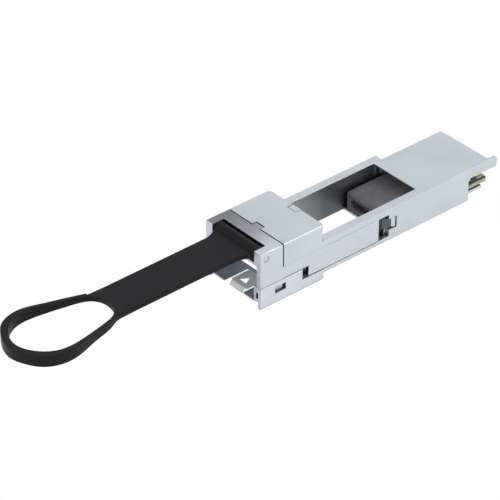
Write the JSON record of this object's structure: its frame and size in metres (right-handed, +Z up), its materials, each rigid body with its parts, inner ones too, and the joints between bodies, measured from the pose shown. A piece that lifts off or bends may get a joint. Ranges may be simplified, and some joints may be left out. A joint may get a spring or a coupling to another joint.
{
  "type": "optical transceiver module",
  "caption": "Plug-in module adapter: open metal body with a small-module port, side latch slider and black pull strap with a finger loop.",
  "frame": {"origin": "middle of the port's mouth, on the port's floor, which is level with the underside of the body", "axes": "+Y is the direction of insertion into the host cage, +Z is up, +X is to the right seen from the mouth"},
  "size_m": [0.0186, 0.1322, 0.0145],
  "materials": {
    "cast_nickel": "satin nickel plated die casting",
    "slider_nickel": "satin nickel plated",
    "stamped_steel": "bright stamped sheet",
    "screw_steel": "plain steel",
    "pin_steel": "polished steel",
    "spring_steel": "spring wire",
    "strap_rubber": "smooth moulded, semi-gloss",
    "board_laminate": "green solder mask",
    "pad_gold": "gold plated",
    "socket_plastic": "moulded",
    "chip_plastic": "moulded",
    "contact_alloy": "plated spring alloy",
    "tin": "tinned",
    "capacitor_ceramic": "ceramic body"
  },
  "bodies": {
    "housing": {"upper_shell": "cast_nickel", "lower_shell": "cast_nickel", "nose_cover": "cast_nickel", "nose_frame": "cast_nickel", "port_liner": "stamped_steel", "closing_screws": "screw_steel", "return_spring_left": "spring_steel", "return_spring_right": "spring_steel", "circuit_board": "board_laminate", "edge_pads_top": "pad_gold", "edge_pads_bottom": "pad_gold", "sfp_socket": "socket_plastic", "socket_contacts_upper": "contact_alloy", "socket_contacts_lower": "contact_alloy", "memory_chip": "chip_plastic", "memory_leads": "tin", "capacitors": "capacitor_ceramic", "resistors": "chip_plastic"},
    "slider": {"latch_slider": "slider_nickel", "strap_pin": "pin_steel"},
    "strap": {"pull_strap": "strap_rubber"},
    "leaf": {"latch_leaf": "stamped_steel"}
  },
  "joints": [
    {"name": "slider_pull", "type": "slide", "parent": "housing", "child": "slider", "axis": [0, -1, 0], "range_m": [0, 0.0014], "stiffness_N_per_m": 400, "springref_m": -0.0005, "deforming": ["return_spring_left", "return_spring_right"]},
    {"name": "strap_turn", "type": "hinge", "parent": "slider", "child": "strap", "pos_m": [0, 0.00177, 0.01114], "axis": [1, 0, 0], "range_deg": [-105, 33], "stiffness_Nm_per_rad": 0.01},
    {"name": "leaf_bend", "type": "hinge", "parent": "housing", "child": "leaf", "pos_m": [0, 0.00685, -0.00015], "axis": [1, 0, 0], "range_deg": [0, 8], "stiffness_Nm_per_rad": 0.05}
  ]
}
